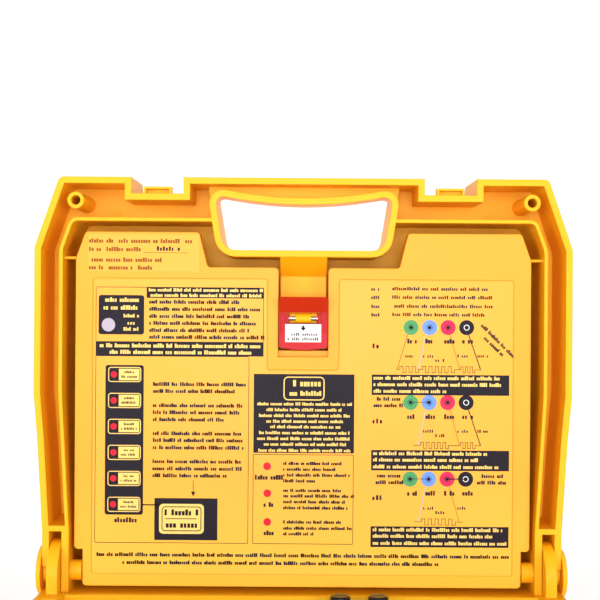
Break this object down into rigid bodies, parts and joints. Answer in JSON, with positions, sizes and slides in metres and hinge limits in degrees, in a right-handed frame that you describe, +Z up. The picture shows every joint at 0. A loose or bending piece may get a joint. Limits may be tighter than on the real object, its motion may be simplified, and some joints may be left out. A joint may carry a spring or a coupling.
{
  "type": "micro ohmmeter",
  "caption": "Portable resistance meter in a moulded carrying case, its lid open on a latched lead compartment with a printed cover.",
  "frame": {"origin": "centre of the base's standing face", "axes": "+Z up, +X to the right as the user faces the handle, -Y towards the user"},
  "size_m": [0.33, 0.2974, 0.3614],
  "materials": {
    "case_yellow": "moulded plastic, fine texture",
    "cover_yellow": "moulded plastic, fine texture",
    "label_yellow": "printed plastic sheet",
    "latch_red": "moulded plastic",
    "sticker_white": "printed paper sticker",
    "key_yellow": "moulded plastic",
    "key_red": "moulded plastic",
    "overlay_dark": "printed plastic sheet",
    "plastic_black": "moulded plastic",
    "plastic_green": "moulded plastic",
    "plastic_blue": "moulded plastic",
    "plastic_red": "moulded plastic",
    "led_red": "clear red resin",
    "steel": "plated",
    "brass": "plated",
    "aluminium": "bent sheet",
    "black_aluminium": "anodised",
    "clear": "clear",
    "display": "liquid crystal cell in its frame",
    "board_green": "coated laminate",
    "battery_grey": "moulded plastic",
    "component_black": "moulded resin",
    "component_blue": "sleeved can"
  },
  "bodies": {
    "base": {"base_shell": "case_yellow", "instrument_panel": "cover_yellow", "panel_overlay": "overlay_dark", "panel_screws": "steel", "lcd_bezel": "plastic_black", "lcd_window": "clear", "lcd_module": "display", "display_board": "board_green", "display_standoffs": "brass", "standoff_screws": "steel", "key_switches": "component_black", "range_leds": "led_red", "status_leds": "led_red", "charger_jack": "plastic_black", "charger_jack_pin": "steel", "charger_jack_nut": "steel", "fuse_holders": "plastic_black", "fuse_holder_nuts": "steel", "fuses": "clear", "fuse_end_caps": "steel", "terminal_green": "plastic_green", "terminal_blue": "plastic_blue", "terminal_red": "plastic_red", "terminal_black": "plastic_black", "terminal_contacts": "brass", "terminal_nuts": "steel", "battery": "battery_grey", "battery_terminals": "steel", "battery_bracket": "aluminium", "bracket_screws": "steel", "main_board": "board_green", "board_standoffs": "brass", "board_screws": "steel", "heat_sink": "black_aluminium", "power_transistors": "component_black", "board_capacitors": "component_blue", "board_chips": "component_black", "hinge_pin_left": "case_yellow", "hinge_pin_right": "case_yellow"},
    "lid": {"lid_shell": "case_yellow"},
    "cover": {"compartment_cover": "cover_yellow", "instruction_label": "label_yellow", "date_label": "label_yellow"},
    "compartment_lever": {"compartment_latch": "latch_red", "compartment_latch_pin": "steel", "latch_sticker": "sticker_white"},
    "left_lever": {"latch_left": "latch_red", "latch_pin_left": "steel"},
    "right_lever": {"latch_right": "latch_red", "latch_pin_right": "steel"},
    "left_fuse_cap": {"fuse_cap_left": "plastic_black"},
    "right_fuse_cap": {"fuse_cap_right": "plastic_black"},
    "range_button": {"range_key": "key_yellow"},
    "test_button": {"test_key": "key_yellow"},
    "power_button": {"power_key": "key_red"}
  },
  "joints": [
    {"name": "lid_hinge", "type": "hinge", "parent": "base", "child": "lid", "pos_m": [0, 0.1134, 0.118], "axis": [-1, 0, 0], "range_deg": [-90, 0]},
    {"name": "cover_hinge", "type": "hinge", "parent": "lid", "child": "cover", "pos_m": [0, 0.1134, 0.118], "axis": [1, 0, 0], "range_deg": [0, 85]},
    {"name": "compartment_latch_pivot", "type": "hinge", "parent": "lid", "child": "compartment_lever", "pos_m": [0, 0.1114, 0.2752], "axis": [-1, 0, 0], "range_deg": [0, 55]},
    {"name": "left_latch_pivot", "type": "hinge", "parent": "base", "child": "left_lever", "pos_m": [-0.09, -0.125, 0.0987], "axis": [1, 0, 0], "range_deg": [-45, 0]},
    {"name": "right_latch_pivot", "type": "hinge", "parent": "base", "child": "right_lever", "pos_m": [0.09, -0.125, 0.0987], "axis": [1, 0, 0], "range_deg": [-45, 0]},
    {"name": "left_fuse_cap_turn", "type": "hinge", "parent": "base", "child": "left_fuse_cap", "pos_m": [0.023, 0.0814, 0.1], "axis": [0, 0, 1], "range_deg": [0, 60]},
    {"name": "right_fuse_cap_turn", "type": "hinge", "parent": "base", "child": "right_fuse_cap", "pos_m": [0.0455, 0.0814, 0.1], "axis": [0, 0, 1], "range_deg": [0, 60]},
    {"name": "range_key_press", "type": "slide", "parent": "base", "child": "range_button", "axis": [0, 0, -1], "range_m": [0, 0.0015], "stiffness_N_per_m": 800},
    {"name": "test_key_press", "type": "slide", "parent": "base", "child": "test_button", "axis": [0, 0, -1], "range_m": [0, 0.0015], "stiffness_N_per_m": 800},
    {"name": "power_key_press", "type": "slide", "parent": "base", "child": "power_button", "axis": [0, 0, -1], "range_m": [0, 0.0015], "stiffness_N_per_m": 800}
  ]
}
